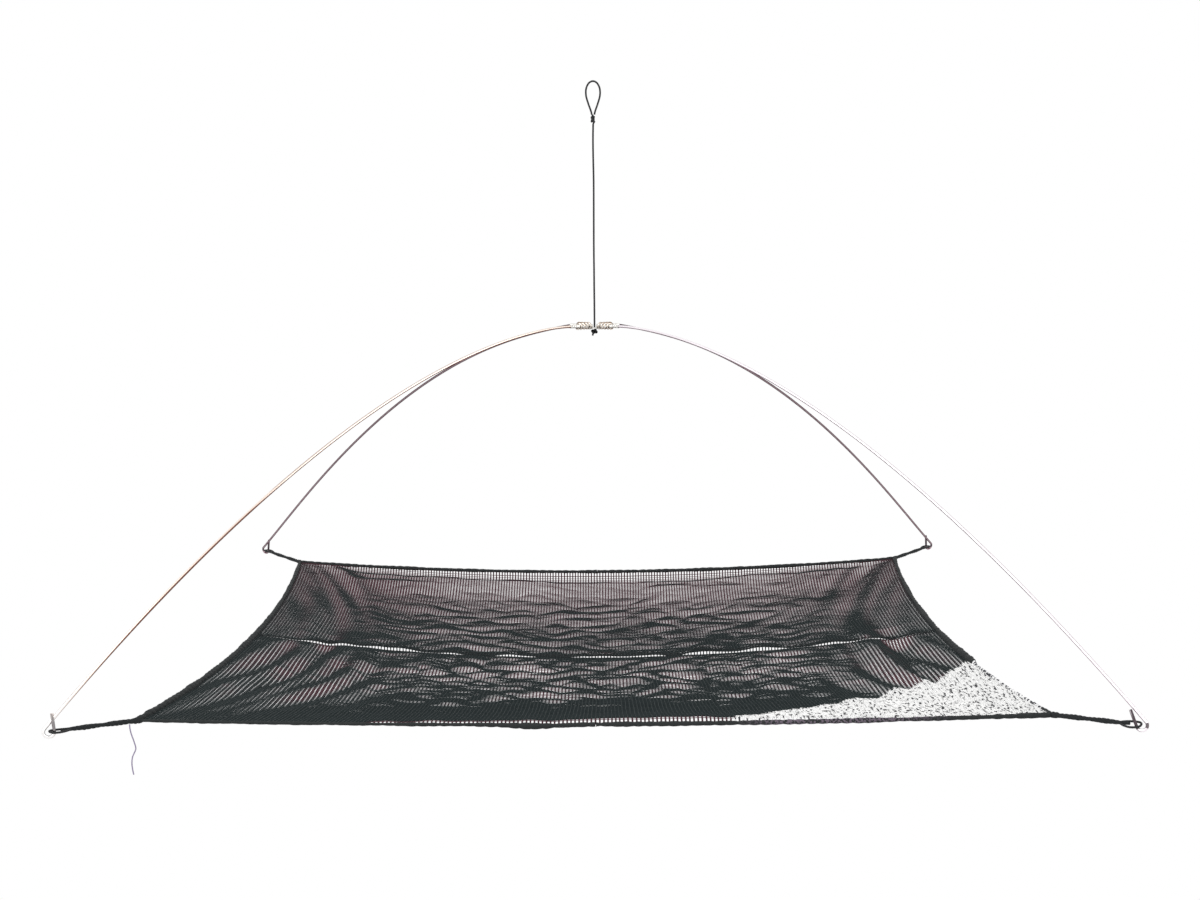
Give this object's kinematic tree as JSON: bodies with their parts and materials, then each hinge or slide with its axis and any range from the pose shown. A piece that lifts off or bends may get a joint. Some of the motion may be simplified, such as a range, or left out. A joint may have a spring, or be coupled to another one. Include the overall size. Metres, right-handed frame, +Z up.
{
  "type": "umbrella lift net",
  "caption": "Square drop net for live bait: four sprung wire ribs under a lift rope hold a sagging dark mesh panel by its corners and fold down like an umbrella.",
  "frame": {"origin": "inside of the top of the lift loop, where the loop bears on the hook, pole tip or hand line that holds the net up", "axes": "+Z up along the lift rope, +X to the right and +Y to the back of the net as the picture shows it, both square to the net's sides"},
  "size_m": [1.0977, 1.0991, 0.7551],
  "materials": {
    "plated_steel": "bright zinc plate",
    "spring_steel": "oil-tempered wire, slightly dulled",
    "rib_steel": "bright drawn wire with a pale gold passivated plate",
    "black_netting": "fine knotted twine netting, dipped black",
    "black_cord": "black braided cord",
    "grey_twine": "thin violet-grey twine"
  },
  "bodies": {
    "hub": {"hub_plate": "plated_steel", "hub_spring_front_left": "spring_steel", "hub_spring_front_right": "spring_steel", "hub_spring_rear_left": "spring_steel", "hub_spring_rear_right": "spring_steel", "lift_rope": "black_cord", "stopper_knot": "black_cord", "loop_knot": "black_cord", "lift_loop": "black_cord"},
    "front_left_rib": {"rib_front_left": "rib_steel", "rib_sleeve_front_left": "plated_steel"},
    "front_right_rib": {"rib_front_right": "rib_steel", "rib_sleeve_front_right": "plated_steel"},
    "rear_left_rib": {"rib_rear_left": "rib_steel", "rib_sleeve_rear_left": "plated_steel"},
    "rear_right_rib": {"rib_rear_right": "rib_steel", "rib_sleeve_rear_right": "plated_steel"},
    "front_left_net": {"net_front_left": "black_netting", "front_edge_rope_left": "black_cord", "left_edge_rope_front": "black_cord", "corner_tail_front_left": "black_cord", "corner_loop_front_left": "black_cord", "seam_lacing_left": "black_cord", "twine_end": "grey_twine"},
    "front_right_net": {"net_front_right": "black_netting", "front_edge_rope_right": "black_cord", "right_edge_rope_front": "black_cord", "corner_tail_front_right": "black_cord", "corner_loop_front_right": "black_cord", "seam_lacing_right": "black_cord"},
    "rear_left_net": {"net_rear_left": "black_netting", "rear_edge_rope_left": "black_cord", "left_edge_rope_rear": "black_cord", "corner_tail_rear_left": "black_cord", "corner_loop_rear_left": "black_cord"},
    "rear_right_net": {"net_rear_right": "black_netting", "rear_edge_rope_right": "black_cord", "right_edge_rope_rear": "black_cord", "corner_tail_rear_right": "black_cord", "corner_loop_rear_right": "black_cord"}
  },
  "joints": [
    {"name": "fold_front_left", "type": "hinge", "parent": "hub", "child": "front_left_rib", "pos_m": [-0.01237, -0.01237, -0.309], "axis": [0.7071, -0.7071, 0], "range_deg": [0, 60], "stiffness_Nm_per_rad": 2, "springref_deg": -25.78, "deforming": ["hub_spring_front_left"]},
    {"name": "fold_front_right", "type": "hinge", "parent": "hub", "child": "front_right_rib", "pos_m": [0.01237, -0.01237, -0.309], "axis": [0.7071, 0.7071, 0], "range_deg": [0, 60], "stiffness_Nm_per_rad": 2, "springref_deg": -25.78, "deforming": ["hub_spring_front_right"]},
    {"name": "fold_rear_left", "type": "hinge", "parent": "hub", "child": "rear_left_rib", "pos_m": [-0.01237, 0.01237, -0.309], "axis": [-0.7071, -0.7071, 0], "range_deg": [0, 60], "stiffness_Nm_per_rad": 2, "springref_deg": -25.78, "deforming": ["hub_spring_rear_left"]},
    {"name": "fold_rear_right", "type": "hinge", "parent": "hub", "child": "rear_right_rib", "pos_m": [0.01237, 0.01237, -0.309], "axis": [-0.7071, 0.7071, 0], "range_deg": [0, 60], "stiffness_Nm_per_rad": 2, "springref_deg": -25.78, "deforming": ["hub_spring_rear_right"]},
    {"name": "hang_front_left", "type": "hinge", "parent": "front_left_rib", "child": "front_left_net", "pos_m": [-0.544, -0.544, -0.69], "axis": [-0.7071, 0.7071, 0], "range_deg": [0, 142.5], "deforming": ["net_front_left", "front_edge_rope_left", "left_edge_rope_front", "seam_lacing_left"]},
    {"name": "hang_front_right", "type": "hinge", "parent": "front_right_rib", "child": "front_right_net", "pos_m": [0.544, -0.544, -0.69], "axis": [-0.7071, -0.7071, 0], "range_deg": [0, 142.5], "deforming": ["net_front_right", "front_edge_rope_right", "right_edge_rope_front", "seam_lacing_right"]},
    {"name": "hang_rear_left", "type": "hinge", "parent": "rear_left_rib", "child": "rear_left_net", "pos_m": [-0.544, 0.544, -0.69], "axis": [0.7071, 0.7071, 0], "range_deg": [0, 142.5], "deforming": ["net_rear_left", "rear_edge_rope_left", "left_edge_rope_rear"]},
    {"name": "hang_rear_right", "type": "hinge", "parent": "rear_right_rib", "child": "rear_right_net", "pos_m": [0.544, 0.544, -0.69], "axis": [0.7071, -0.7071, 0], "range_deg": [0, 142.5], "deforming": ["net_rear_right", "rear_edge_rope_right", "right_edge_rope_rear"]}
  ],
  "couplings": [
    {"joint": "fold_front_right", "follows": "fold_front_left", "ratio": 1},
    {"joint": "fold_rear_left", "follows": "fold_front_left", "ratio": 1},
    {"joint": "fold_rear_right", "follows": "fold_front_left", "ratio": 1},
    {"joint": "hang_front_left", "follows": "fold_front_left", "ratio": 2.3667},
    {"joint": "hang_front_right", "follows": "fold_front_left", "ratio": 2.3667},
    {"joint": "hang_rear_left", "follows": "fold_front_left", "ratio": 2.3667},
    {"joint": "hang_rear_right", "follows": "fold_front_left", "ratio": 2.3667}
  ]
}
